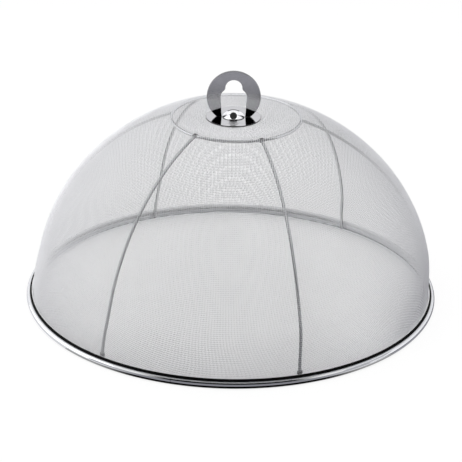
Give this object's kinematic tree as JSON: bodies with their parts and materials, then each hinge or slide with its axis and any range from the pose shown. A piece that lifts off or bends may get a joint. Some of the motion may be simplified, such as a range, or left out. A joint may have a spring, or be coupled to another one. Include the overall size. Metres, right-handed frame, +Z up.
{
  "type": "mesh food cover",
  "caption": "Hemispherical wire-mesh cover on a welded wire frame, with a rolled steel rim and a flat ring handle that turns on its screw; keeps flies off food.",
  "frame": {"origin": "middle of the rim's underside, on the surface that the cover stands on", "axes": "+Z up along the dome's axis, -Y towards the front, with the ring handle facing the front"},
  "size_m": [0.35, 0.35, 0.2009],
  "materials": {
    "mesh": "woven stainless wire, bright drawn",
    "frame_wire": "bright drawn stainless wire",
    "rim": "polished stainless strip",
    "seal": "black, smooth",
    "mirror_plate": "mirror polished",
    "ring": "satin, with rounded edges",
    "fixings": "plain stainless"
  },
  "bodies": {
    "cover": {"mesh_dome": "mesh", "crown_hoop": "frame_wire", "rib_front_right": "frame_wire", "rib_right": "frame_wire", "rib_rear_right": "frame_wire", "rib_rear_left": "frame_wire", "rib_left": "frame_wire", "rib_front_left": "frame_wire", "base_hoop": "frame_wire", "rim_ring": "rim", "edge_seal": "seal"},
    "handle": {"handle_base_plate": "mirror_plate", "handle_ring": "ring", "dome_nut": "mirror_plate", "fixing_screw": "fixings", "spring_washer": "fixings", "backing_washer": "fixings"}
  },
  "joints": [
    {"name": "handle_swivel", "type": "hinge", "parent": "cover", "child": "handle", "pos_m": [0, 0, 0.16], "axis": [0, 0, 1], "continuous": true}
  ]
}
